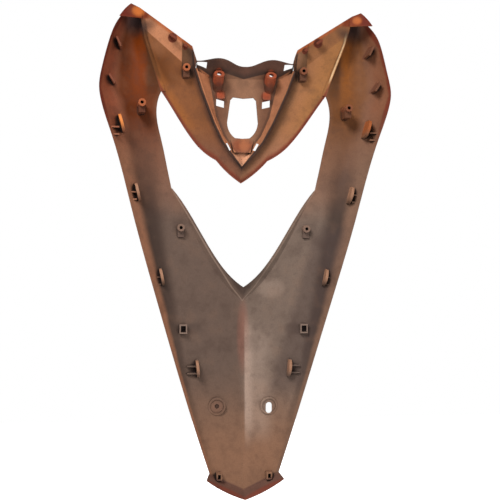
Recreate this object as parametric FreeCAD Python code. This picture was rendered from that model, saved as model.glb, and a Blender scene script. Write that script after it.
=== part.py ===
"""Scooter front fairing: one thin moulding with wings, beak, headlight opening and toe.

X is the rider's right, Y points forward and Z up. The origin lies midway between the seats of
the two upper screw cups. The inside of the shell faces -Y, and the mould draws along Y.
Everything is drawn with the cups at CUP_Y and moved to the origin last. The right half is built
first and mirrored, and the two unlike lower bolt seats are cut after that.
"""
import FreeCAD, Part
import math
import os
from FreeCAD import Vector

# Walls and overlaps, mm
WALL = 2.5
RIM_THICKEN = 1.5
RIB = 2.0
LIP_WIDTH = 2.0
LIP_RISE = 2.5
CREST_HALF = 1.8
CREST_RISE = 1.5
LAP = 1.2

# Outline of the right half, (x, z)
TIP = (161.0, 88.5)
TIP_INNER = (149.0, 84.0)
WIDEST = (203.3, -27.0)
TOP_CORNER = (75.0, 37.5)
WING_HEEL = (68.8, 18.0)
TOE_CORNER = (48.5, -557.0)
TOE_FOLD_Z = -581.0
TOE_EAR = (54.2, -39.0, -563.0)
TOE_TIP = (0.0, -36.0, -591.5)

# Headlight opening, (x, z)
OPENING_TOP = (117.4, -25.7)
OPENING_BELLY = (123.8, -52.0)
OPENING_KNEE = (102.6, -160.0)
OPENING_FLOOR_Z = -299.0
FLANGE_FOOT_Z = -318.0
FLANGE_EDGE_Y = -4.0
BEAK_KNEE = (65.1, -98.6)
BEAK_NOSE = (37.0, -118.5)
BEAK_TIP_Z = -150.5

# Half section of the shell by height: z, then (x, y) of its inner end, its trough and its rim
SHELL_STATIONS = [
    (-605.0, (-12.0, -22.0), (25.0, -25.0), (34.0, -31.0)),
    (-557.0, (-12.0, -12.0), (39.0, -17.0), (50.0, -27.0)),
    (-466.0, (-12.0, 1.5), (63.0, -10.0), (79.4, -23.0)),
    (-317.0, (-12.0, 10.0), (101.0, -9.0), (124.4, -27.0)),
    (-216.0, (50.0, 4.0), (116.0, -6.0), (153.0, -31.0)),
    (-162.0, (88.0, -1.0), (126.0, -4.0), (168.1, -34.0)),
    (-100.0, (104.0, -3.0), (140.0, -1.0), (184.9, -37.0)),
    (-26.0, (112.0, -1.5), (149.0, 1.0), (204.6, -39.0)),
    (20.0, (128.5, -9.5), (150.0, 2.0), (197.2, -38.0)),
    (55.0, (141.0, -18.0), (156.0, 0.0), (185.8, -36.0)),
    (95.0, (152.0, -28.0), (158.0, -14.0), (164.5, -31.0)),
]

# Wing and beak by sections across the crest: (x, y, z) of the outer end and of the crest, and the
# depth y of the bend that lies a fixed width from the crest
BEND_WIDTH = 12.0
CURL = 0.55
WING_STATIONS = [
    ((0.0, 29.5, -156.0), (0.0, 21.0, -126.5), 28.0),
    ((52.0, 20.5, -116.0), (28.0, 14.0, -92.0), 21.5),
    ((88.0, 10.0, -78.0), (41.5, 8.0, -66.0), 15.5),
    ((120.0, -1.0, -30.0), (60.0, -2.0, -22.0), 6.0),
    ((130.0, -6.0, 4.0), (70.0, -6.0, 7.0), 1.0),
    ((138.0, -11.0, 28.0), (67.0, -9.5, 26.0), -3.5),
    ((161.0, -29.0, 98.0), (70.0, -18.0, 52.0), -14.0),
]

# Centre bracket: a plate that leans forward at its foot, inside the crest, and a hood above it
PLATE_Y = 5.8
PLATE_LEAN = 0.164
PLATE_FOOT_Z = -118.0
PLATE_CORNER = (49.5, -3.0)
PLATE_TOP_Z = -5.0
HOOD_EDGE = [(0.0, -4.0, 11.8), (12.0, -8.0, 13.2), (25.0, -16.0, 17.8), (38.5, -20.0, 19.8),
             (54.0, -19.0, 17.4)]
HOOD_END_Z = 19.0
HOOD_GAP = [(55.0, 7.2), (67.5, 11.8), (68.5, 15.8), (54.7, 14.6)]

# Openings of the centre plate
WINDOW_TOP_Z = -29.5
WINDOW_TOP_X = 18.5
WINDOW_WAIST = (22.3, -65.0)
WINDOW_JAW = (18.0, -78.5)
WINDOW_FLOOR_X = 10.5
WINDOW_FLOOR_Z = -87.0
WINDOW_CORNER_R = 4.0
WINDOW_DIP = 1.5
CATCH_X = 33.0
CATCH_Z = -37.0
CATCH_WIDTH = 11.4
CATCH_HEIGHT = 9.4
CATCH_SKEW = 2.8
CATCH_RAMP = 12.0
CATCH_RISE = 6.0
SLOT_X = 20.0
SLOT_Z = -99.0
SLOT_WIDTH = 3.4
SLOT_LENGTH = 11.5
SLOT_TURN = 28.0
PAD_TOP_X = 17.0
PAD_FOOT_X = 12.0
PAD_FOOT_Z = -107.0
PAD_RISE = 5.0

# Upper screw cups
CUP_X = 37.0
CUP_Y = -10.0
CUP_R = 7.3
CUP_WALL = 2.2
CUP_BORE_R = 3.4
CUP_TILT = 38.0
CUP_LENGTH = 45.0

# Tip: a sloped web that closes the trough from the inside, with a pocket behind it
TIP_WEB_X = 146.0
TIP_WEB_Y = -24.0
TIP_WEB_Z = 70.0
TIP_WEB_SLOPE = 0.32

# Screw bosses: x, z and the depth y of the free end
BOSS_R = 5.2
BOSS_BORE_R = 2.3
BOSS_BORE_DEPTH = 10.5
GUSSET_WIDTH = 9.0
GUSSET_LENGTH = 13.0
GUSSET_DROP = 5.0
WING_BOSS = (83.1, 7.4, -13.0)
ARM_BOSS = (145.0, -45.6, -29.0)
SHIELD_BOSS = (89.2, -216.0, -11.0)

# Edge clips: x, z and the depth y of the top of the blade, its tilt in degrees, and the height of
# the pocket beside it from the middle of the blade
CLIP_THICK = 3.6
CLIP_R = 12.5
CLIP_POCKET = 10.0
CLIP_POCKET_LENGTH = 15.0
CLIP_DROP = 8.0
CLIPS = [
    (172.5, -74.0, -37.0, 16.0, -11.0),
    (149.8, -167.9, -31.5, 14.0, -5.0),
    (115.6, -284.8, -24.0, 12.0, -5.0),
    (65.0, -412.5, -22.0, 6.0, -1.5),
]

# Small guide boxes, open in the middle: x, z, top y, width and height
GUIDES = [(85.4, -357.0, -15.0, 11.0, 13.0), (35.1, -561.0, -27.0, 8.0, 10.0)]

# Catch ribs on the arm and lugs along the top edge: x, z, top y, width, length, turn in degrees
ARM_RIBS = [(177.0, 36.0, -30.0, 2.5, 14.0, 25.0), (186.0, -15.0, -33.0, 2.5, 14.0, 32.0)]
WING_LUGS = [(103.0, 47.0, -24.0, 10.0, 3.5, -32.0), (85.0, 36.0, -19.0, 5.0, 3.5, -32.0)]

# Raised strip of the wing around its screw boss, (x, z)
STRIP = [(75.0, -6.0), (87.0, -4.0), (89.5, 46.0), (73.0, 40.0)]
STRIP_RISE = 0.8

# Lower bolt bosses: a collar round a sunk seat, blind on the left and slotted on the right
BOLT_X = 37.0
BOLT_Z = -466.0
BOLT_R = 12.3
BOLT_RISE = 2.5
BOLT_SEAT_R = 9.6
BOLT_SEAT_DEPTH = 1.6
BOLT_SLOT_R = 4.4
BOLT_SLOT_LENGTH = 15.5
BOLT_SLOT_DROP = 3.0
DIMPLE_R = 3.0
DIMPLE_DEPTH = 1.6

REACH = 200.0
AHEAD = Vector(0, 1, 0)


def edge_through(points):
    """A straight edge through two points, or a smooth one through more."""
    if len(points) == 2:
        return Part.LineSegment(*points).toShape()
    curve = Part.BSplineCurve()
    curve.interpolate(points)
    return curve.toShape()


def outline(*pieces):
    """A closed wire from pieces of an (x, z) outline."""
    return Part.Wire([edge_through([Vector(x, -REACH, z) for x, z in piece]) for piece in pieces])


def polygon(*corners):
    """A closed wire with straight sides."""
    return outline(*zip(corners, corners[1:] + corners[:1]))


def prism(wire):
    """A solid right through the part along Y."""
    return Part.Face(wire).extrude(AHEAD * (2 * REACH))


def box_between(low, high):
    size = Vector(*high) - Vector(*low)
    return Part.makeBox(size.x, size.y, size.z, Vector(*low))


def curl_section(start, bend, end, near_y, far_y):
    """A closed section: straight from start to bend, then curling to end, thicker at the end."""
    run = bend - start
    pull = bend + run * ((1 - CURL) * (end - bend).Length / run.Length)
    near = [p + AHEAD * near_y for p in (start, bend, pull, end)]
    far = [p + AHEAD * far_y for p in (start, bend, pull)]
    far.append(end + AHEAD * (far_y * RIM_THICKEN))

    def curl(*poles):
        curve = Part.BezierCurve()
        curve.setPoles(list(poles))
        return curve.toShape()

    return Part.Wire([
        edge_through(near[:2]),
        curl(*near[1:]),
        edge_through([near[3], far[3]]),
        curl(far[3], far[2], far[1]),
        edge_through([far[1], far[0]]),
        edge_through([far[0], near[0]]),
    ])


def shell_skin(near_y=0.0, far_y=WALL):
    """The shell between two depths from its inside face."""
    sections = []
    for z, *ends in SHELL_STATIONS:
        points = [Vector(x, y, z) for x, y in ends]
        sections.append(curl_section(*points, near_y, far_y))
    return Part.makeLoft(sections, True, False)


def wing_skin(near_y=0.0, far_y=WALL):
    """The wing and beak between two depths from their inside face, drawn a little past the crest."""
    sections = []
    for outer, crest, bend_y in WING_STATIONS:
        start = Vector(*outer)
        end = Vector(*crest)
        outward = Vector(start.x - end.x, 0, start.z - end.z).normalize()
        bend = end + outward * BEND_WIDTH
        bend.y = bend_y
        climb = AHEAD * ((end.y - bend_y) / (CURL * BEND_WIDTH))
        end += (climb - outward) * LAP
        sections.append(curl_section(start, bend, end, near_y, far_y))
    return Part.makeLoft(sections, True, False)


def plate_y(z):
    return PLATE_Y - PLATE_LEAN * z


def depth_at(shape, x, z):
    """Depth y of the inside face of a skin at (x, z)."""
    ray = Part.LineSegment(Vector(x, -REACH, z), Vector(x, REACH, z)).toShape()
    return min(v.Y for v in shape.section(ray).Vertexes)


def ruled_sheet(line_a, line_b, near_y=0.0, far_y=WALL):
    """A wall between two smooth lines of points, from one depth to another along Y."""
    lines = [[Vector(x, y + near_y, z) for x, y, z in line] for line in (line_a, line_b)]
    return Part.makeRuledSurface(*map(edge_through, lines)).extrude(AHEAD * (far_y - near_y))


def shifted(points, dx, dz):
    """Points of an (x, z) line or an (x, y, z) line moved in plan."""
    return [(p[0] + dx, *p[1:-1], p[-1] + dz) for p in points]


def rooted(skin, points):
    """A line of (x, z) points laid a little inside the wall of a skin."""
    return [(x, depth_at(skin, x, z) + LAP / 2, z) for x, z in points]


def post_box(x, z, top_y, width, length, turn=0.0):
    """An upright box round (x, z) along Y from its free end, long enough to be trimmed by a skin."""
    low = (x - width / 2, top_y, z - length / 2)
    high = (x + width / 2, top_y + REACH, z + length / 2)
    box = box_between(low, high)
    box.rotate(Vector(x, 0, z), AHEAD, turn)
    return box


def boss(x, z, top_y):
    """A screw boss along Y with a gusset box below it."""
    gusset = post_box(x, z - GUSSET_LENGTH / 2, top_y + GUSSET_DROP, GUSSET_WIDTH, GUSSET_LENGTH)
    return Part.makeCylinder(BOSS_R, REACH, Vector(x, top_y, z), AHEAD).fuse(gusset)


def boss_bore(x, z, top_y):
    return Part.makeCylinder(BOSS_BORE_R, BOSS_BORE_DEPTH, Vector(x, top_y, z), AHEAD)


def guide(x, z, top_y, width, height):
    outer = post_box(x, z, top_y, width, height)
    return outer.cut(post_box(x, z, top_y, width - 2 * RIB, height - 2 * RIB))


def clip(x, z, top_y, tilt, pocket_z):
    """An arched blade with two ribs that make a pocket towards the rim."""
    arch_centre = Vector(x - CLIP_THICK / 2, top_y + CLIP_R, z)
    blade = Part.makeCylinder(CLIP_R, CLIP_THICK, arch_centre, Vector(1, 0, 0))
    blade = blade.fuse(post_box(x, z, top_y + CLIP_R, CLIP_THICK, 2 * CLIP_R))
    blade.rotate(Vector(x, 0, z), AHEAD, tilt)
    middle = x - pocket_z * math.tan(math.radians(tilt)) + CLIP_POCKET_LENGTH / 2
    for side in (-1, 1):
        rib_z = z + pocket_z + side * CLIP_POCKET / 2
        blade = blade.fuse(post_box(middle, rib_z, top_y + CLIP_DROP, CLIP_POCKET_LENGTH, RIB))
    return blade


def wedge(x, half_top, half_foot, top_z, foot_z, rise):
    """A ramp on the centre plate, flush at its top edge and raised to the inside at its foot."""
    ends = []
    for half_width, z, lift in ((half_top, top_z, 0.0), (half_foot, foot_z, rise)):
        near = plate_y(z) - lift
        far = plate_y(z) + WALL / 2
        corners = [(-half_width, near), (half_width, near), (half_width, far), (-half_width, far)]
        ends.append(Part.makePolygon([Vector(x + dx, y, z) for dx, y in corners + corners[:1]]))
    return Part.makeLoft(ends, True, True)


def screw_cup(radius, inset):
    """A tilted round cup from its seat to beyond the plate, drawn out along Y above its axis."""
    seat = CUP_SEAT + CUP_AXIS * inset
    tube = Part.makeCylinder(radius, CUP_LENGTH, seat, CUP_AXIS)
    draw = Part.Face(Part.Wire(Part.makeCircle(radius, seat, CUP_AXIS))).extrude(AHEAD * CUP_LENGTH)
    side = seat - Vector(radius, 0, 0)
    web_corners = [side, side + CUP_AXIS * CUP_LENGTH, side + AHEAD * CUP_LENGTH, side]
    web = Part.Face(Part.makePolygon(web_corners)).extrude(Vector(2 * radius, 0, 0))
    return tube.fuse([draw, web])


def joined(first, *rest):
    """Solids fused one after another, each overlapping what is there."""
    for solid in rest:
        first = first.fuse(solid)
    return first


tilt = math.radians(CUP_TILT)
CUP_AXIS = Vector(0, math.cos(tilt), -math.sin(tilt))
CUP_SEAT = Vector(CUP_X, CUP_Y, 0)

# Outlines
past_centre = -20.0
toe_fold = [(0.0, TOE_FOLD_Z), (31.0, -568.5), TOE_CORNER]
toe_lap = shifted(toe_fold, 0, -LAP)
shell_outline = outline(
    [TOE_CORNER, (80.5, -458.5), (120.5, -325.0), (158.1, -192.0), (185.3, -93.0), (200.4, -46.0),
     WIDEST, (199.7, 0.0), (189.3, 40.0), (170.4, 79.0), TIP],
    [TIP, TIP_INNER],
    [TIP_INNER, TOP_CORNER],
    [TOP_CORNER, (past_centre, TOP_CORNER[1])],
    [(past_centre, TOP_CORNER[1]), (past_centre, toe_lap[0][1])],
    [(past_centre, toe_lap[0][1]), toe_lap[0]],
    toe_lap,
    [toe_lap[-1], TOE_CORNER],
)
arm_edge = [OPENING_TOP, (121.9, -38.0), OPENING_BELLY, (115.9, -98.0), (108.7, -132.0), OPENING_KNEE]
flange_foot = [OPENING_KNEE, (77.0, -210.0), (48.5, -263.5), (20.0, -301.0), (0.0, FLANGE_FOOT_Z)]
flange_edge = [(72.5, -203.0), (42.0, -254.0), (17.5, -285.0), (0.0, OPENING_FLOOR_Z)]
shell_lap = [OPENING_KNEE] + shifted(flange_foot[1:], -LAP / 2, LAP)
shell_opening = outline(
    arm_edge,
    shell_lap,
    [shell_lap[-1], (past_centre, shell_lap[-1][1])],
    [(past_centre, shell_lap[-1][1]), (past_centre, OPENING_TOP[1])],
    [(past_centre, OPENING_TOP[1]), OPENING_TOP],
)
crest_line = [crest for _, crest, _ in WING_STATIONS[:5]]
crest_plan = [(x, z) for x, _, z in crest_line]
wing_outline = outline(
    crest_plan,
    [crest_plan[-1], WING_HEEL],
    [WING_HEEL, (71.3, 27.0), TOP_CORNER],
    [TOP_CORNER, TIP_INNER],
    [TIP_INNER, (142.0, 46.0), (127.0, 2.0), OPENING_TOP],
    [OPENING_TOP, (95.0, -58.5), (78.0, -83.0), BEAK_KNEE],
    [BEAK_KNEE, (51.0, -110.5), BEAK_NOSE],
    [BEAK_NOSE, (18.0, -137.5), (0.0, BEAK_TIP_Z)],
    [(0.0, BEAK_TIP_Z), crest_plan[0]],
)
right_side = box_between((0, -REACH, -700), (400, REACH, 200))

# Skins, and the blocks ahead of them that trim what stands on them
whole_shell = shell_skin()
whole_wing = wing_skin()
shell_area = prism(shell_outline).common(right_side)
wing_area = prism(wing_outline)
shell = whole_shell.common(shell_area.cut(prism(shell_opening)))
wing = whole_wing.common(wing_area)
shell_front = shell_skin(WALL / 2, 2 * REACH)
wing_front = wing_skin(WALL / 2, 2 * REACH)

# Flange of the lower V of the headlight opening, rooted inside the shell's wall
knee_y = depth_at(whole_shell, *OPENING_KNEE)
edge_line = [(OPENING_KNEE[0] - LAP, knee_y, OPENING_KNEE[1] - LAP)]
edge_line += [(x, FLANGE_EDGE_Y, z) for x, z in flange_edge]
flange_root = rooted(whole_shell, shifted(flange_foot, 0, -LAP))
flange = ruled_sheet(flange_root, edge_line).cut(shell_front).common(right_side)

# Toe flange, rooted in the same way
toe_line = [TOE_TIP, (34.5, TOE_TIP[1], -576.5), TOE_EAR]
toe_root = rooted(whole_shell, shifted(toe_fold, 0, LAP))
toe = ruled_sheet(toe_root, toe_line).cut(shell_front)

# Bank inside the crest and rib along it, both drawn past the centre
plate_edge = [(0.0, PLATE_FOOT_Z), (13.0, -102.0), (27.0, -83.5), (38.7, -56.0), (45.0, -26.0),
              PLATE_CORNER]
bank_foot = [(x - LAP, plate_y(z) + LAP / 2, z) for x, z in plate_edge]


def crest_side(offset):
    line = shifted(crest_line, offset, -offset / 2)
    return [(-LAP, *line[0][1:])] + line[1:]


bank = ruled_sheet(crest_side(LAP), bank_foot).common(right_side)
crest_sides = crest_side(-CREST_HALF), crest_side(CREST_HALF)
crest_rib = ruled_sheet(*crest_sides, -CREST_RISE, WALL / 2).common(right_side)

# Centre plate
slab_corners = [(0.0, -140.0), (90.0, -140.0), (90.0, 40.0), (0.0, 40.0), (0.0, -140.0)]
slab_face = Part.Face(Part.makePolygon([Vector(x, plate_y(z), z) for x, z in slab_corners]))
plate_front = slab_face.extrude(AHEAD * REACH)
plate_front.translate(AHEAD * (WALL / 2))
plate_top = [(0.0, PLATE_TOP_Z), (25.0, -3.6), PLATE_CORNER]
wide_edge = [(0.0, PLATE_FOOT_Z - LAP)] + shifted(plate_edge[1:], LAP, 0)
wide_top = shifted(plate_top[:-1], 0, LAP) + [wide_edge[-1]]
plate_region = outline(wide_edge, wide_top[::-1], [wide_top[0], wide_edge[0]])
plate = slab_face.extrude(AHEAD * WALL).common(prism(plate_region))

# Hood from the plate's top to the wing's heel, with a gap near its end
hood_foot = [(x, plate_y(z) + LAP, z - LAP) for x, z in plate_top]
heel_x = crest_plan[-1][0] + LAP
heel_root = rooted(whole_wing, [(heel_x, crest_plan[-1][1] - LAP), (heel_x, HOOD_END_Z)])
hood = ruled_sheet(hood_foot + heel_root[:1], HOOD_EDGE + heel_root[1:])
hood = hood.cut(wing_front).cut(prism(polygon(*HOOD_GAP)))

# Screw cup, catch ramp and centre pad on the plate
cup = screw_cup(CUP_R, 0).cut(plate_front)
catch_low = CATCH_Z - CATCH_HEIGHT / 2
catch_top = CATCH_Z + CATCH_HEIGHT / 2
ramp = wedge(CATCH_X, CATCH_WIDTH / 2, CATCH_WIDTH / 2, catch_top + CATCH_RAMP, catch_top, CATCH_RISE)
pad = wedge(0, PAD_TOP_X, PAD_FOOT_X, WINDOW_FLOOR_Z, PAD_FOOT_Z, PAD_RISE).common(right_side)

# Tip web
tip_corners = [(TIP_WEB_X, TIP_WEB_Z), (WIDEST[0], TIP_WEB_Z), (WIDEST[0], REACH), (TIP_WEB_X, REACH)]
tip_face = Part.Face(Part.makePolygon([
    Vector(x, TIP_WEB_Y - TIP_WEB_SLOPE * (x - TIP_WEB_X), z) for x, z in tip_corners + tip_corners[:1]
]))
tip_web = tip_face.extrude(AHEAD * WALL).common(shell_area).common(shell_skin(-REACH, WALL))

# Bosses, clips, ribs and lugs, trimmed where they meet the skin
bolt_top = Vector(BOLT_X, depth_at(whole_shell, BOLT_X, BOLT_Z) - BOLT_RISE, BOLT_Z)
on_shell = [boss(*place) for place in (ARM_BOSS, SHIELD_BOSS)]
on_shell += [clip(*place) for place in CLIPS]
on_shell += [guide(*place) for place in GUIDES]
on_shell += [post_box(*place) for place in ARM_RIBS]
on_shell += [Part.makeCylinder(BOLT_R, REACH, bolt_top, AHEAD)]
on_shell = Part.makeCompound(on_shell).cut(shell_front).common(shell_area)
on_wing = [boss(*WING_BOSS)] + [post_box(*place) for place in WING_LUGS]
on_wing = Part.makeCompound(on_wing).cut(wing_front).common(wing_area)

# Raised strip of the wing, and the lip along the lower edge of the beak
strip = wing_skin(-STRIP_RISE, WALL / 2).common(prism(polygon(*STRIP)).common(wing_area))
above_lip = wing_area.copy()
above_lip.translate(Vector(0, 0, LIP_WIDTH))
beak_side = box_between((0, -REACH, -REACH), (OPENING_TOP[0], REACH, OPENING_TOP[1]))
lip = wing_skin(-LIP_RISE, WALL / 2).common(wing_area.cut(above_lip).common(beak_side))

# Holes of both halves
cup_bore = Part.makeCylinder(CUP_BORE_R, 4 * CUP_WALL, CUP_SEAT - CUP_AXIS * (2 * CUP_WALL), CUP_AXIS)
window_brow = WINDOW_TOP_X - WINDOW_CORNER_R
window_heel = (WINDOW_FLOOR_X, WINDOW_FLOOR_Z + WINDOW_DIP / 2)
window = outline(
    [(0.0, WINDOW_TOP_Z - WINDOW_DIP), (window_brow / 2, WINDOW_TOP_Z - WINDOW_DIP / 2),
     (window_brow, WINDOW_TOP_Z)],
    [(window_brow, WINDOW_TOP_Z), (WINDOW_TOP_X, WINDOW_TOP_Z - WINDOW_CORNER_R)],
    [(WINDOW_TOP_X, WINDOW_TOP_Z - WINDOW_CORNER_R), WINDOW_WAIST],
    [WINDOW_WAIST, WINDOW_JAW, window_heel],
    [window_heel, (0.0, WINDOW_FLOOR_Z)],
    [(0.0, WINDOW_FLOOR_Z), (0.0, WINDOW_TOP_Z - WINDOW_DIP)],
)
catch_in = CATCH_X - CATCH_WIDTH / 2
catch_out = CATCH_X + CATCH_WIDTH / 2
catch = polygon((catch_in, catch_low - CATCH_SKEW), (catch_out, catch_low), (catch_out, catch_top),
                (catch_in, catch_top - CATCH_SKEW))
holes = [screw_cup(CUP_R - CUP_WALL, CUP_WALL), cup_bore, prism(window), prism(catch)]
holes += [post_box(SLOT_X, SLOT_Z, 0, SLOT_WIDTH, SLOT_LENGTH, SLOT_TURN)]
holes += [boss_bore(*place) for place in (WING_BOSS, ARM_BOSS, SHIELD_BOSS)]
holes += [Part.makeCylinder(BOLT_SEAT_R, BOLT_SEAT_DEPTH, bolt_top, AHEAD)]

# Right half
bracket = joined(plate, bank, hood, cup, ramp, pad)
beak = joined(wing, bracket, crest_rib, strip, lip, on_wing)
shield = joined(shell, flange, toe, tip_web, on_shell)
half = joined(shield, beak).cut(holes)

# Both halves, then the two unlike bolt seats
both = half.fuse(half.mirror(Vector(0, 0, 0), Vector(1, 0, 0)))
seat = bolt_top + AHEAD * BOLT_SEAT_DEPTH
dimple = Part.makeCylinder(DIMPLE_R, DIMPLE_DEPTH, Vector(-seat.x, seat.y, seat.z), AHEAD)
straight = BOLT_SLOT_LENGTH - 2 * BOLT_SLOT_R
slot_z = BOLT_Z - BOLT_SLOT_DROP
bolt_slot = [post_box(BOLT_X, slot_z, bolt_top.y, 2 * BOLT_SLOT_R, straight)]
for end in (-1, 1):
    end_point = Vector(BOLT_X, bolt_top.y, slot_z + end * straight / 2)
    bolt_slot.append(Part.makeCylinder(BOLT_SLOT_R, REACH, end_point, AHEAD))
fairing = both.cut([dimple] + bolt_slot)
fairing.translate(Vector(0, -CUP_Y, 0))

os.makedirs("parts", exist_ok=True)
fairing.Solids[0].exportStep("parts/front_fairing.step")
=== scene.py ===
from math import cos, radians, sin

import bpy
from mathutils import Matrix, Vector

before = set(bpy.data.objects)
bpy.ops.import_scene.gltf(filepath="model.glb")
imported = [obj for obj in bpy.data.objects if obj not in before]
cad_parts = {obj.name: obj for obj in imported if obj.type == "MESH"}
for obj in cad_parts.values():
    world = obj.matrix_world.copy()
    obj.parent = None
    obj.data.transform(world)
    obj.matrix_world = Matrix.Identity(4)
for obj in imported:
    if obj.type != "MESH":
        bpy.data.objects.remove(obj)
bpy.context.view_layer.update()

MM = 0.001
WHITE = (1.0, 1.0, 1.0, 1.0)

# Camera, fitted to the photograph, in mm
CAMERA_PLACE = Vector((-201.7, -1390.0, -246.5))
CAMERA_RIGHT = Vector((0.98879, -0.14919, 0.00698))
CAMERA_BACK = Vector((-0.14919, -0.98881, 0.0))
CAMERA_LENS = 72.0
CAMERA_SENSOR = 36.0

# Soft studio light: a white surround, a large lamp above and to the left, a weak one to the right and one
# for the far side. Each lamp has its place and size in metres and its power in watts
SURROUND = 0.34
LAMP_AIM = Vector((0.0, 0.0, -0.2))
LAMPS = [
    ("key", Vector((-1.0, -1.5, 1.3)), 0.9, 56.0),
    ("fill", Vector((1.2, -1.6, 0.3)), 0.8, 8.0),
    ("back", Vector((0.9, 1.7, 1.0)), 1.2, 50.0),
]

# The floor under the hanging part, in metres, its grey and how white it looks in its own shadow
FLOOR_HEIGHT = -1.0
FLOOR_REACH = 3.0
FLOOR_GREY = 0.85
FLOOR_GLOW = 0.8

# Lines of the moulding that the overspray follows, on the XZ plane in mm. These give the distance from the
# middle at a height
RIM = [(-592, 20), (-557, 48.5), (-458, 80.5), (-325, 120.5), (-192, 158), (-93, 185.5), (-27, 203.3),
       (0, 199.7), (40, 189.3), (79, 170.4), (92, 158)]
ARM_EDGE = [(-318, 0), (-299, 16), (-254, 46), (-203, 76), (-160, 102.6), (-98, 116), (-52, 124),
            (-26, 117.4)]
RIDGE = [(-26, 117.4), (2, 127), (46, 142), (84, 149)]
CREST = [(-127, 0), (-92, 28), (-66, 41.5), (-22, 60), (7, 70), (40, 74)]
PLATE_EDGE = [(-118, 0), (-102, 13), (-83.5, 27), (-56, 38.7), (-26, 45), (-3, 49.5), (20, 56)]
# These give the height at a distance from the middle
HOOD_FOOT = [(0, -4), (20, 1), (34, 4), (40, 0), (46, -2), (53, 1), (60, 5), (67, 9)]
TOE_FOLD = [(0, -581), (25, -569), (45, -559)]
BEAK_EDGE = [(0, -150.5), (18, -137.5), (37, -118.5), (51, -110.5), (65, -98.6), (78, -83), (95, -58.5),
             (117.4, -25.7), (130, 0)]
TOP_EDGE = [(60, 28), (75, 37.5), (149, 84), (161, 88.5), (175, 88.5)]
WING_FOLD = [(70, 1.6), (87.2, 14.8), (138, 53.7), (150, 63)]
# How far in from the rim the flank's dark crease runs, at a height
CREASE = [(-600, 5), (-420, 7), (-340, 13), (-210, 21), (-110, 32), (-40, 41), (20, 30), (60, 20), (100, 20)]

# Small mouldings, in mm: distance from the middle and height, then the lean of a clip or rib in degrees
# or the reach of a lug. A half is half the width and half the length of an oblong
CLIPS = [(172.5, -74.0, 16.0), (149.8, -167.9, 14.0), (115.6, -284.8, 12.0), (65.0, -412.5, 6.0)]
CLIP_HALF = (1.7, 11.0)
RIBS = [(177.0, 36.0, 25.0), (186.0, -15.0, 32.0)]
RIB_HALF = (3.0, 8.0)
LUGS = [(103.0, 47.0, 8.0), (85.0, 36.0, 5.0)]
GUIDE = (85.4, -357.0)
GUIDE_HALF = (5.0, 6.0)
BOSSES = [(83.1, 7.4), (145.0, -45.6), (89.2, -216.0)]
BOSS_REACH = (8.0, 8.0)
GUSSET_DROP = 7.0
GUSSET_HALF = (4.8, 6.5)
CUP = (37.0, -4.0)
CUP_FOOT = (37.0, -17.0)
CATCH = (33.0, -27.0)
PAD = (0.0, -97.0)
BLIND_SEAT = (-37.0, -466.0)
TIP = (149.0, 72.0)
TROUGH = 148.0

# The skin of the arms and the shield: bare plastic, dust at the toe and on the arms, overspray higher up,
# painted shade in the crease, and a band of dust and painted light along the rim, low and high, with
# overspray on it high up. The right half's plastic and overspray are painted lighter, as painted light
PLASTIC_L = (97, 79, 69)
PLASTIC_LIT_R = (110, 93, 82)
TOE_DUST = (130, 94, 72)
OVERSPRAY_L = (97, 44, 14)
OVERSPRAY_LIT_R = (114, 70, 39)
ARM_DUST = (150, 104, 80)
CREASE_SHADE = (30, 16, 12)
RIM_DUST_AND_LIGHT_L = (150, 103, 78)
RIM_DUST_AND_LIGHT_R = (118, 89, 72)
RIM_SPRAY_L = (142, 76, 52)
RIM_SPRAY_R = (123, 78, 55)

# The painted shade in corners and its reach in mm, and the outside's paint with its flakes, clouds and worn
# rim
CORNER_SHADE = (40, 30, 28)
CORNER_SHADE_REACH = 9.0
PAINT = (164, 58, 14)
PAINT_FLAKE = (216, 104, 34)
PAINT_CLOUD = (120, 40, 12)
PAINT_WORN = (104, 74, 60)

# The grain of dust and paint, as scales of noise per metre, how far it moves the dust's edges in mm, and
# the surface's shine and bumps
BLOTCH_SCALE = 22.0
CLOUD_SCALE = 45.0
SPECK_SCALE = 140.0
FINE_SCALE = 900.0
FLAKE_SCALE = 1600.0
DUST_WANDER = 12.0
ROUGHNESS = 0.48
ROUGHNESS_GRAIN = 0.16
SPECULAR = 0.1
COAT = 0.4
COAT_ROUGHNESS = 0.06
BUMP = 0.12
BUMP_DEPTH = 0.2


def linear(colour):
    """A screen colour, 0 to 255, as linear light."""
    out = []
    for value in colour:
        c = value / 255
        out.append(c / 12.92 if c <= 0.04045 else ((c + 0.055) / 1.055) ** 2.4)
    return (*out, 1.0)


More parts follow.
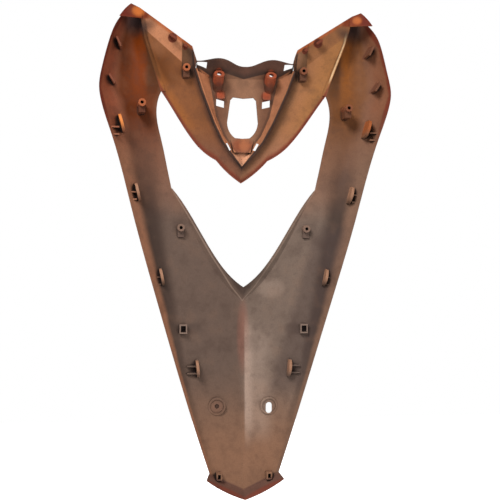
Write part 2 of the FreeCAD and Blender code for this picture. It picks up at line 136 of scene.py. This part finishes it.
class Graph:
    """Short names for the nodes of one material."""

    def __init__(self, tree):
        self.tree = tree

    def put(self, socket, value):
        if isinstance(value, bpy.types.NodeSocket):
            self.tree.links.new(value, socket)
        else:
            socket.default_value = value

    def node(self, kind, **inputs):
        made = self.tree.nodes.new(kind)
        for name, value in inputs.items():
            self.put(made.inputs[name.replace("_", " ")], value)
        return made

    def math(self, operation, a, b=0.0):
        made = self.tree.nodes.new("ShaderNodeMath")
        made.operation = operation
        self.put(made.inputs[0], a)
        self.put(made.inputs[1], b)
        return made.outputs[0]

    def times(self, *factors):
        out = factors[0]
        for factor in factors[1:]:
            out = self.math("MULTIPLY", out, factor)
        return out

    def ramp(self, value, low, high):
        """0 at low, 1 at high, smooth between."""
        made = self.tree.nodes.new("ShaderNodeMapRange")
        made.interpolation_type = "SMOOTHSTEP"
        self.put(made.inputs["Value"], value)
        self.put(made.inputs["From Min"], low)
        self.put(made.inputs["From Max"], high)
        return made.outputs[0]

    def band(self, value, low, high, soft):
        """1 between low and high, fading over soft on each side."""
        return self.times(self.ramp(value, low - soft, low), self.ramp(value, high + soft, high))

    def mix(self, factor, a, b):
        made = self.tree.nodes.new("ShaderNodeMix")
        made.data_type = "RGBA"
        self.put(made.inputs["Factor"], factor)
        self.put(made.inputs[6], a)
        self.put(made.inputs[7], b)
        return made.outputs[2]

    def noise(self, place, scale, detail=3.0):
        return self.node("ShaderNodeTexNoise", Vector=place, Scale=scale, Detail=detail).outputs[0]

    def curve(self, value, points):
        """A value read off a line of (value, result) points."""
        xs = [p[0] for p in points]
        ys = [p[1] for p in points]
        span = max(xs) - min(xs)
        rise = max(ys) - min(ys)
        made = self.tree.nodes.new("ShaderNodeFloatCurve")
        line = made.mapping.curves[0].points
        while len(line) < len(points):
            line.new(0.5, 0.5)
        for knot, (x, y) in zip(line, points):
            knot.location = ((x - min(xs)) / span, (y - min(ys)) / rise)
            knot.handle_type = "VECTOR"
        made.mapping.update()
        across = self.math("DIVIDE", self.math("SUBTRACT", value, min(xs)), span)
        self.put(made.inputs["Value"], across)
        return self.math("ADD", self.math("MULTIPLY", made.outputs[0], rise), min(ys))

    def slab(self, x, z, centre, half, lean=0.0):
        """1 inside an upright oblong on the XZ plane that leans away from the middle by some degrees."""
        angle = radians(lean)
        dx = self.math("SUBTRACT", x, centre[0])
        dz = self.math("SUBTRACT", z, centre[1])
        across = self.math("SUBTRACT", self.times(dx, cos(angle)), self.times(dz, sin(angle)))
        along = self.math("ADD", self.times(dx, sin(angle)), self.times(dz, cos(angle)))
        return self.times(self.band(across, -half[0], half[0], 0.6), self.band(along, -half[1], half[1], 1.5))

    def spot(self, x, z, centre, radii):
        """1 in the middle of a soft oval on the XZ plane, 0 at its edge."""
        along = self.math("DIVIDE", self.math("SUBTRACT", x, centre[0]), radii[0])
        across = self.math("DIVIDE", self.math("SUBTRACT", z, centre[1]), radii[1])
        reach = self.math("ADD", self.math("POWER", along, 2.0), self.math("POWER", across, 2.0))
        return self.ramp(reach, 1.0, 0.0)

    def seen(self):
        """1 for rays to the eye, straight or by a shiny or clear surface, 0 for those that light the part."""
        rays = self.node("ShaderNodeLightPath").outputs
        direct = self.math("MAXIMUM", rays["Is Camera Ray"], rays["Is Transmission Ray"])
        return self.math("MAXIMUM", direct, rays["Is Glossy Ray"])


class Moulding:
    """Where a point of the part lies: its place, its distances from the lines in mm, and its areas."""

    def __init__(self, g):
        self.place = g.node("ShaderNodeTexCoord").outputs["Object"]
        split = g.node("ShaderNodeSeparateXYZ", Vector=self.place)
        self.x = g.times(split.outputs["X"], 1 / MM)
        self.y = g.times(split.outputs["Y"], 1 / MM)
        self.z = g.times(split.outputs["Z"], 1 / MM)
        self.side = g.math("ABSOLUTE", self.x)
        self.left = g.ramp(self.x, 8.0, -8.0)
        self.right = g.ramp(self.x, -8.0, 8.0)
        normal = g.node("ShaderNodeNewGeometry").outputs["Normal"]
        self.ahead = g.node("ShaderNodeSeparateXYZ", Vector=normal).outputs["Y"]
        self.cloud = g.noise(self.place, CLOUD_SCALE, 4.0)
        self.speck = g.noise(self.place, SPECK_SCALE, 4.0)
        self.fine = g.noise(self.place, FINE_SCALE, 2.0)
        blotch = g.noise(self.place, BLOTCH_SCALE)
        self.wander = g.times(g.math("SUBTRACT", blotch, 0.5), DUST_WANDER)
        self.find_distances(g)
        self.find_areas(g)

    def find_distances(self, g):
        side, z = self.side, self.z
        self.from_rim = g.math("SUBTRACT", g.curve(z, RIM), side)
        self.from_arm_edge = g.math("SUBTRACT", side, g.curve(z, ARM_EDGE))
        self.past_ridge = g.math("SUBTRACT", side, g.curve(z, RIDGE))
        self.past_crest = g.math("SUBTRACT", side, g.curve(z, CREST))
        self.past_plate = g.math("SUBTRACT", side, g.curve(z, PLATE_EDGE))
        self.above_beak = g.math("SUBTRACT", z, g.curve(side, BEAK_EDGE))
        self.above_fold = g.math("SUBTRACT", z, g.curve(side, WING_FOLD))
        self.above_top = g.math("SUBTRACT", z, g.curve(side, TOP_EDGE))
        self.above_toe = g.math("SUBTRACT", z, g.curve(side, TOE_FOLD))
        self.above_hood = g.math("SUBTRACT", z, g.curve(side, HOOD_FOOT))

    def find_areas(self, g):
        on_wing = g.times(g.ramp(self.above_beak, -4.0, 0.0), g.ramp(self.past_crest, -0.5, 0.5))
        self.wing = g.times(on_wing, g.ramp(self.past_ridge, 1.0, -1.0))
        self.arm = g.ramp(self.past_ridge, -1.0, 1.0)
        self.arms_up = g.ramp(self.z, -150.0, -100.0)
        self.centre = g.times(g.ramp(self.past_crest, 0.0, -1.0), g.ramp(self.z, -128.0, -125.0))
        self.outside = g.ramp(self.ahead, 0.0, 0.4)


# Layers of dust, overspray, painted light and painted shade over the bare plastic, each with where it lies,
# how much of it there is, and its colour


def skin_layers(g, m):
    """The arms and the shield from the toe up, then painted shade in the flank's crease and the rim beside
    it.
    """
    wavy_z = g.math("ADD", m.z, g.times(m.wander, 2.0))
    wavy_rim = g.math("ADD", m.from_rim, g.times(m.wander, 0.4))
    to_crease = g.math("DIVIDE", wavy_rim, g.curve(m.z, CREASE))
    sprayed = g.ramp(wavy_z, -220.0, -40.0)
    # Painted shade in the flank's crease, heavier on the right
    crease = g.ramp(to_crease, 2.2, 1.2)
    crease_l = g.times(crease, m.left, g.ramp(m.z, -560.0, -240.0), g.ramp(m.z, -20.0, -200.0))
    crease_r = g.times(crease, m.right, g.ramp(m.z, -560.0, -330.0), g.ramp(m.z, -20.0, -230.0))
    # The band beside the rim is painted lighter: dust and painted light
    rim = g.ramp(to_crease, 0.85, 0.3)
    high_rim = g.times(rim, g.ramp(m.z, -140.0, -30.0))
    return [
        (m.right, 1.0, PLASTIC_LIT_R),
        (g.ramp(wavy_z, -400.0, -540.0), 1.0, TOE_DUST),
        (g.times(sprayed, m.left), 1.0, OVERSPRAY_L),
        (g.times(sprayed, m.right), 1.0, OVERSPRAY_LIT_R),
        (g.band(wavy_z, -160.0, -120.0, 60.0), 0.3, ARM_DUST),
        (crease_l, 0.63, CREASE_SHADE),
        (crease_r, 0.8, CREASE_SHADE),
        (g.times(rim, m.left), 1.0, RIM_DUST_AND_LIGHT_L),
        (g.times(rim, m.right), 1.0, RIM_DUST_AND_LIGHT_R),
        (g.times(high_rim, m.left), 1.0, RIM_SPRAY_L),
        (g.times(high_rim, m.right), 1.0, RIM_SPRAY_R),
    ]


def shield_layers(g, m):
    """The shield: a warm streak, painted light by its fold and higher up, and painted shade on the right
    flank.
    """
    streak = g.spot(m.x, m.z, (1.0, -368.0), (11.0, 62.0))
    lit_line = g.times(g.ramp(m.x, 2.0, 4.5), g.ramp(m.x, 19.0, 4.5), g.band(m.z, -465.0, -395.0, 70.0))
    shade_on_flank = g.times(m.right, g.band(m.from_rim, 14.0, 40.0, 16.0), g.band(m.z, -430.0, -230.0, 30.0))
    lit_face = g.times(g.ramp(m.x, 0.0, 12.0), g.ramp(m.x, 50.0, 25.0), g.band(m.z, -490.0, -375.0, 35.0))
    lit_patch = g.spot(m.x, m.z, (40.0, -300.0), (24.0, 18.0))
    return [
        (streak, 0.6, (132, 86, 72)),
        (lit_line, 0.6, (178, 152, 136)),
        (shade_on_flank, 0.5, (72, 58, 54)),
        (lit_face, 0.3, (176, 152, 136)),
        (lit_patch, 0.22, (176, 152, 136)),
    ]


def arm_layers(g, m):
    """The arms: an orange stripe down each trough, a shade under the ridge and a dusty inner edge."""
    wavy_side = g.math("ADD", m.side, m.wander)
    stripe = g.times(m.arm, g.ramp(m.z, -75.0, 10.0), g.band(wavy_side, TROUGH - 1.0, TROUGH + 1.0, 15.0))
    under_ridge = g.times(m.arm, g.ramp(m.z, -50.0, -5.0), g.ramp(m.side, 142.0, 134.0))
    along_edge = g.times(g.ramp(m.from_arm_edge, 8.0, 1.0), g.ramp(m.z, -190.0, -100.0))
    inner_edge = g.times(along_edge, g.ramp(m.above_beak, 4.0, 0.0))
    return [
        (g.times(stripe, m.left), 0.95, (114, 48, 4)),
        (g.times(stripe, m.right), 0.85, (138, 80, 32)),
        (under_ridge, 0.75, (68, 40, 20)),
        (inner_edge, 0.4, (112, 78, 60)),
    ]


def wing_layers(g, m):
    """The wings and the beak, with painted light and shade by the fold, ridge and crest, and what lies along
    the two edges.
    """
    outer = g.times(m.wing, g.ramp(m.past_ridge, -45.0, -5.0))
    lower = g.times(m.wing, g.ramp(m.z, -60.0, -120.0))
    # Painted light on the band above the wing's fold, which the shape leaves unfolded; lighter on the left
    strip = g.times(m.wing, g.ramp(m.above_fold, -1.0, 1.0), g.ramp(m.side, 84.0, 90.0))
    dark_outer = g.times(outer, m.left, g.band(m.z, -5.0, 15.0, 22.0))
    lit_lower = g.times(m.wing, m.left, g.ramp(m.above_beak, 34.0, 10.0), g.ramp(m.z, -95.0, -65.0))
    round_boss = g.times(m.wing, g.ramp(m.side, 90.0, 88.0), g.ramp(m.z, -8.0, -3.0))
    lit_ridge = g.times(m.wing, m.right, g.band(m.z, 0.0, 54.0, 10.0), g.band(m.past_ridge, -3.0, -1.2, 0.8))
    # Painted shade beside the ridge on the left
    shade_by_ridge = g.times(m.left, g.ramp(m.z, -20.0, 0.0), g.band(m.past_ridge, -4.0, 1.0, 3.0))
    beak_edge = g.times(m.wing, g.ramp(m.above_beak, 10.0, 3.0))
    # Painted shade beside the crest: broad on the right wing, narrow and darker on both
    shade_by_crest = g.times(m.wing, m.right, g.ramp(m.past_crest, 28.0, 4.0))
    shade_at_crest = g.times(m.wing, g.ramp(m.past_crest, 11.0, 1.0))
    lit_crest = g.times(m.wing, m.right, g.ramp(m.past_crest, 14.0, 4.0), g.ramp(m.z, 2.0, 12.0))
    top_edge = g.times(g.ramp(m.above_top, -7.0, -2.0), g.band(m.side, 74.0, 146.0, 8.0))
    return [
        # The right wing is painted lighter than the left, as painted light
        (g.times(m.wing, m.left), 1.0, (130, 80, 48)),
        (g.times(m.wing, m.right), 1.0, (156, 104, 68)),
        (dark_outer, 1.0, (94, 51, 20)),
        (lit_lower, 0.9, (150, 90, 46)),
        (g.times(outer, m.right), 1.0, (150, 100, 58)),
        (g.times(lower, m.left), 1.0, (118, 76, 56)),
        (g.times(lower, m.right), 1.0, (146, 98, 72)),
        (g.times(strip, m.left), 1.0, (186, 124, 88)),
        (g.times(strip, m.right), 1.0, (138, 90, 56)),
        (round_boss, 1.0, (100, 68, 46)),
        (lit_ridge, 0.9, (214, 176, 134)),
        (shade_by_ridge, 0.7, (72, 42, 20)),
        (beak_edge, 1.0, (124, 60, 42)),
        (shade_by_crest, 0.85, (96, 66, 44)),
        (shade_at_crest, 1.0, (76, 52, 42)),
        (lit_crest, 0.7, (142, 100, 72)),
        (top_edge, 0.8, (168, 86, 44)),
    ]


def centre_layers(g, m):
    """The centre bracket: plate, banks, hood, catches, pad and cups, with painted shade and painted light on
    them.
    """
    middle = g.times(m.centre, g.ramp(m.side, 34.0, 10.0))
    # Painted shade along the plate's edge, at the foot of the bank
    shade_at_plate_edge = g.times(m.centre, g.ramp(m.z, -2.0, -8.0), g.band(m.past_plate, -3.0, 0.0, 1.5))
    # Painted shade on walls that turn aside from the front
    shaded_side_walls = g.times(m.centre, g.ramp(m.z, 0.0, -6.0), g.ramp(m.ahead, -0.6, -0.3))
    catch = g.times(m.centre, g.spot(m.side, m.z, CATCH, (9.0, 9.0)))
    pad = g.times(m.centre, g.spot(m.side, m.z, PAD, (22.0, 15.0)))
    bank = g.times(m.centre, g.ramp(m.past_plate, -0.5, 0.5), g.ramp(m.z, 8.0, 4.0))
    # The lowest part of the V is painted lighter, painted light over the shade that falls there
    point = g.times(m.centre, g.ramp(m.z, -106.0, -112.0))
    hood = g.times(m.centre, g.ramp(m.above_hood, -0.8, 0.8))
    # Painted shade at the left end of the hood, under the gap
    shade_at_hood_end = g.times(m.centre, g.spot(m.x, m.z, (-50.0, 14.0), (18.0, 10.0)))
    # Painted shade on the hood just above its foot
    shade_at_hood_foot = g.times(hood, g.ramp(m.above_hood, 9.0, 1.0))
    cup = g.times(m.centre, g.ramp(g.spot(m.side, m.z, CUP, (10.0, 15.0)), 0.1, 0.35))
    # Painted shade at the foot of each cup
    shade_at_cup_foot = g.times(m.centre, g.spot(m.side, m.z, CUP_FOOT, (10.0, 8.0)))
    pad_light = g.times(m.centre, g.spot(m.x, m.z, (PAD[0] + 3.0, PAD[1] + 2.0), (10.0, 14.0)))
    return [
        (m.centre, 1.0, (113, 76, 57)),
        (middle, 1.0, (140, 100, 76)),
        (shade_at_plate_edge, 0.6, (82, 58, 46)),
        (shaded_side_walls, 0.7, (60, 42, 34)),
        (catch, 1.0, (150, 68, 40)),
        (pad, 1.0, (132, 69, 44)),
        (g.times(bank, m.left), 1.0, (176, 113, 78)),
        (g.times(bank, m.right), 1.0, (156, 101, 70)),
        (point, 1.0, (204, 146, 112)),
        (hood, 1.0, (94, 64, 52)),
        (shade_at_hood_end, 0.6, (44, 32, 28)),
        (shade_at_hood_foot, 0.8, (58, 44, 38)),
        (cup, 1.0, (146, 70, 44)),
        (shade_at_cup_foot, 0.7, (84, 44, 32)),
        (pad_light, 0.35, (200, 128, 86)),
    ]


def edge_layers(g, m):
    """The opening's flange, the crest's line, the rim, the toe, and marks by guides and blind seat, with
    painted shade and light.
    """
    lit_flange = g.times(m.right, g.band(m.z, -255.0, -165.0, 20.0), g.band(m.from_arm_edge, -5.0, -1.0, 2.0))
    # The opening's flange is painted dark as painted shade, more on the left
    flange = g.times(g.ramp(m.z, -155.0, -165.0), g.ramp(m.from_arm_edge, -2.0, -9.0))
    # A painted highlight along the flange's fold
    glint_on_flange_fold = g.times(g.ramp(m.z, -150.0, -170.0), g.band(m.from_arm_edge, -0.6, 0.8, 0.8))
    by_guide = g.spot(m.side, m.z, (GUIDE[0] - 14.4, GUIDE[1]), (17.0, 11.0))
    # A painted shadow line along the crest
    shade_line_at_crest = g.times(g.band(m.past_crest, 1.0, 2.6, 0.8), g.ramp(m.z, 36.0, 30.0))
    red_rim = g.times(g.ramp(m.from_rim, 3.5, 1.0), g.ramp(m.z, -120.0, -40.0), m.arm)
    return [
        (lit_flange, 0.5, (146, 122, 106)),
        (g.times(m.left, flange), 0.9, (70, 56, 50)),
        (g.times(m.right, flange), 0.75, (76, 62, 55)),
        (glint_on_flange_fold, 0.5, (158, 134, 118)),
        (by_guide, 0.5, (72, 58, 52)),
        (g.spot(m.x, m.z, BLIND_SEAT, (13.0, 13.0)), 0.5, (124, 88, 72)),
        # The dimple in the blind seat is painted dark, as painted shade
        (g.spot(m.x, m.z, BLIND_SEAT, (4.0, 4.0)), 0.8, (60, 44, 38)),
        (shade_line_at_crest, 0.8, (46, 35, 32)),
        (red_rim, 0.8, (104, 38, 26)),
        # The toe's flange below its fold is painted darker, as painted shade; its lower rim is red
        (g.ramp(m.above_toe, 2.0, -1.0), 0.95, (96, 66, 56)),
        (g.ramp(m.above_toe, -6.0, -9.0), 0.8, (116, 56, 42)),
    ]


def tip_layers(g, m):
    """The webs that close the tips of the arms, with a glint on each, and painted shadow in the pockets
    behind them.
    """
    shadow_in_hollow = g.times(g.spot(m.side, m.z, TIP, (30.0, 28.0)), g.ramp(m.y, -13.0, -8.0))
    tip = g.times(g.ramp(m.z, 68.0, 72.0), g.ramp(m.y, -8.0, -12.0), g.ramp(m.side, 132.0, 140.0))
    return [
        (shadow_in_hollow, 0.95, (36, 32, 34)),
        (tip, 1.0, (110, 45, 20)),
        (g.times(tip, g.ramp(m.side, 156.0, 166.0)), 0.9, (96, 32, 20)),
        (g.times(tip, g.spot(m.x, m.z, (-151.0, 79.0), (11.0, 9.0))), 0.7, (214, 118, 48)),
        (g.times(tip, g.spot(m.x, m.z, (156.0, 78.0), (8.0, 7.0))), 0.6, (200, 112, 56)),
    ]


def grain_layers(g, m):
    """Mottling, specks and grain over the whole inside."""
    return [
        (g.ramp(m.cloud, 0.52, 0.3), 0.25, (62, 46, 40)),
        (g.ramp(m.cloud, 0.5, 0.7), 0.08, (150, 112, 88)),
        (g.ramp(m.speck, 0.52, 0.25), 0.16, (58, 42, 36)),
        (g.ramp(m.fine, 0.35, 0.8), 0.25, (64, 46, 38)),
    ]


LAYERS = (skin_layers, shield_layers, arm_layers, wing_layers, centre_layers, edge_layers, tip_layers,
          grain_layers)


def small_mouldings(g, m, colour):
    """Clips, guides, ribs, lugs and bosses in their own colours, with painted light and shade on some of
    them.
    """
    upper_blade_colour_and_light = g.mix(m.right, linear((204, 122, 62)), linear((150, 82, 44)))
    blade_colour_and_light = g.mix(m.arms_up, linear((150, 110, 86)), upper_blade_colour_and_light)
    # Each blade takes its colour more towards its top, a painted highlight, lighter on the left high up
    for side, height, lean in CLIPS:
        blade = g.slab(m.side, m.z, (side, height), CLIP_HALF, lean)
        colour = g.mix(g.times(blade, g.ramp(m.z, height - 14.0, height + 2.0)), colour, blade_colour_and_light)
    guide = g.slab(m.side, m.z, GUIDE, GUIDE_HALF)
    colour = g.mix(g.times(guide, 0.5), colour, linear((146, 122, 108)))
    for side, height, lean in RIBS:
        rib = g.slab(m.side, m.z, (side, height), RIB_HALF, lean)
        colour = g.mix(g.times(rib, 0.5), colour, linear((84, 48, 36)))
    # Each lug and the wing round it are painted dark red-brown: its colour and painted shade
    for side, height, reach in LUGS:
        lug = g.spot(m.side, m.z, (side, height), (reach, reach))
        colour = g.mix(g.ramp(lug, 0.1, 0.5), colour, linear((104, 52, 36)))
    gusset_shade = g.mix(m.arms_up, linear((88, 70, 62)), linear((80, 48, 36)))
    upper_ring = g.mix(m.right, linear((160, 88, 54)), linear((118, 68, 46)))
    ring_colour = g.mix(m.arms_up, linear((122, 96, 82)), upper_ring)
    for side, height in BOSSES:
        # The gusset below each boss is painted dark, as painted shade on its sloping face
        gusset = g.slab(m.side, m.z, (side, height - GUSSET_DROP), GUSSET_HALF)
        colour = g.mix(g.times(gusset, 0.7), colour, gusset_shade)
        # A ring round each boss in its own tones, lighter on the left high up
        ring = g.ramp(g.spot(m.side, m.z, (side, height), BOSS_REACH), 0.45, 0.6)
        colour = g.mix(g.times(ring, 0.8), colour, ring_colour)
    return colour


def shade_corners(g, colour):
    """Painted shade where surfaces meet."""
    corner = g.node("ShaderNodeAmbientOcclusion", Distance=CORNER_SHADE_REACH * MM)
    corner.only_local = True
    return g.mix(g.ramp(corner.outputs["AO"], 0.75, 0.3), colour, linear(CORNER_SHADE))


def outside_paint(g, m):
    """Metallic paint, darker in clouds and worn along the rim."""
    flakes = g.ramp(g.noise(m.place, FLAKE_SCALE, 0.0), 0.5, 0.75)
    paint = g.mix(flakes, linear(PAINT), linear(PAINT_FLAKE))
    paint = g.mix(g.times(g.ramp(m.cloud, 0.5, 0.75), 0.25), paint, linear(PAINT_CLOUD))
    worn = g.times(g.ramp(m.from_rim, 4.0, 0.0), g.ramp(m.speck, 0.45, 0.6))
    return g.mix(worn, paint, linear(PAINT_WORN))


def plastic():
    """Raw plastic with paint overspray, dust, painted light and painted shade inside, and the paint itself
    outside.
    """
    material = bpy.data.materials.new("oversprayed plastic")
    material.use_nodes = True
    shader = material.node_tree.nodes["Principled BSDF"]
    g = Graph(material.node_tree)
    m = Moulding(g)
    colour = linear(PLASTIC_L)
    for layers in LAYERS:
        for where, share, tint in layers(g, m):
            colour = g.mix(g.times(where, share), colour, linear(tint))
    colour = shade_corners(g, small_mouldings(g, m, colour))
    g.put(shader.inputs["Base Color"], g.mix(m.outside, colour, outside_paint(g, m)))
    g.put(shader.inputs["Roughness"], g.math("ADD", ROUGHNESS, g.times(m.fine, ROUGHNESS_GRAIN)))
    g.put(shader.inputs["Coat Weight"], g.times(m.outside, COAT))
    shader.inputs["Coat Roughness"].default_value = COAT_ROUGHNESS
    shader.inputs["Specular IOR Level"].default_value = SPECULAR
    bump = g.node("ShaderNodeBump", Height=m.fine, Strength=BUMP, Distance=BUMP_DEPTH * MM)
    g.put(shader.inputs["Normal"], bump.outputs["Normal"])
    return material


def pale_floor():
    """A matt floor, white to the camera but for the shadow on it."""
    material = bpy.data.materials.new("pale floor")
    material.use_nodes = True
    shader = material.node_tree.nodes["Principled BSDF"]
    shader.inputs["Base Color"].default_value = (FLOOR_GREY, FLOOR_GREY, FLOOR_GREY, 1.0)
    shader.inputs["Roughness"].default_value = 1.0
    shader.inputs["Specular IOR Level"].default_value = 0.0
    shader.inputs["Emission Color"].default_value = WHITE
    g = Graph(material.node_tree)
    g.put(shader.inputs["Emission Strength"], g.times(g.seen(), FLOOR_GLOW))
    return material


def add(name, data):
    made = bpy.data.objects.new(name, data)
    bpy.context.scene.collection.objects.link(made)
    return made


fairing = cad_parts["front_fairing"]
fairing.data.materials.clear()
fairing.data.materials.append(plastic())

# The surround is white where it is seen and dimmer where it lights the part
world = bpy.data.worlds.new("surround")
bpy.context.scene.world = world
world.use_nodes = True
background = world.node_tree.nodes["Background"]
background.inputs["Color"].default_value = WHITE
sky = Graph(world.node_tree)
sky.put(background.inputs["Strength"], sky.math("ADD", SURROUND, sky.times(sky.seen(), 1.0 - SURROUND)))

for name, place, size, power in LAMPS:
    light = bpy.data.lights.new(name, "AREA")
    light.shape = "DISK"
    light.size = size
    light.energy = power
    lamp = add(name, light)
    lamp.location = place
    lamp.rotation_euler = (LAMP_AIM - place).to_track_quat("-Z", "Y").to_euler()

floor_mesh = bpy.data.meshes.new("floor")
corners = [(a * FLOOR_REACH, b * FLOOR_REACH, FLOOR_HEIGHT) for a, b in ((-1, -1), (1, -1), (1, 1), (-1, 1))]
floor_mesh.from_pydata(corners, [], [(0, 1, 2, 3)])
floor_mesh.materials.append(pale_floor())
floor = add("floor", floor_mesh)

camera = add("camera", bpy.data.cameras.new("camera"))
camera.data.lens = CAMERA_LENS
camera.data.sensor_width = CAMERA_SENSOR
back = CAMERA_BACK.normalized()
up = back.cross(CAMERA_RIGHT).normalized()
right = up.cross(back)
turn = Matrix((right, up, back)).transposed().to_4x4()
camera.matrix_world = Matrix.Translation(CAMERA_PLACE * MM) @ turn
bpy.context.scene.camera = camera
bpy.context.scene.view_settings.view_transform = "Standard"
